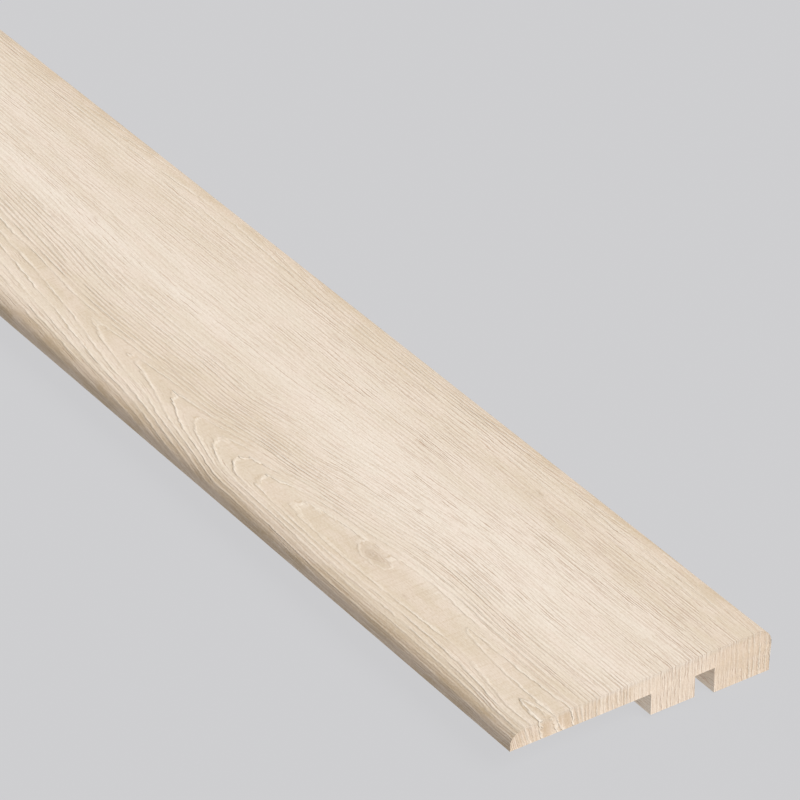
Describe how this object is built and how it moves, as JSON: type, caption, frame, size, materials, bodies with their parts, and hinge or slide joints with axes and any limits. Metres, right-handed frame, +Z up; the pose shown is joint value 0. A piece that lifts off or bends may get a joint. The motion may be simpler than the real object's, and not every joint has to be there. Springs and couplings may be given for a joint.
{
  "type": "floor end cap trim",
  "caption": "Straight wooden floor end cap moulding: a thin lip with an eased nose over a floor rebate, a centre leg, a track groove and a rounded outer block.",
  "frame": {"origin": "middle of the trim's length and width, on the level that the block's underside stands on", "axes": "+X across the trim from the nose of the lip to the outer block, +Y along its length, +Z up through the worn top"},
  "size_m": [0.045, 0.9, 0.0074],
  "materials": {
    "pale_wood": "matt, brushed grain"
  },
  "bodies": {
    "root": {"end_cap": "pale_wood"}
  },
  "joints": []
}
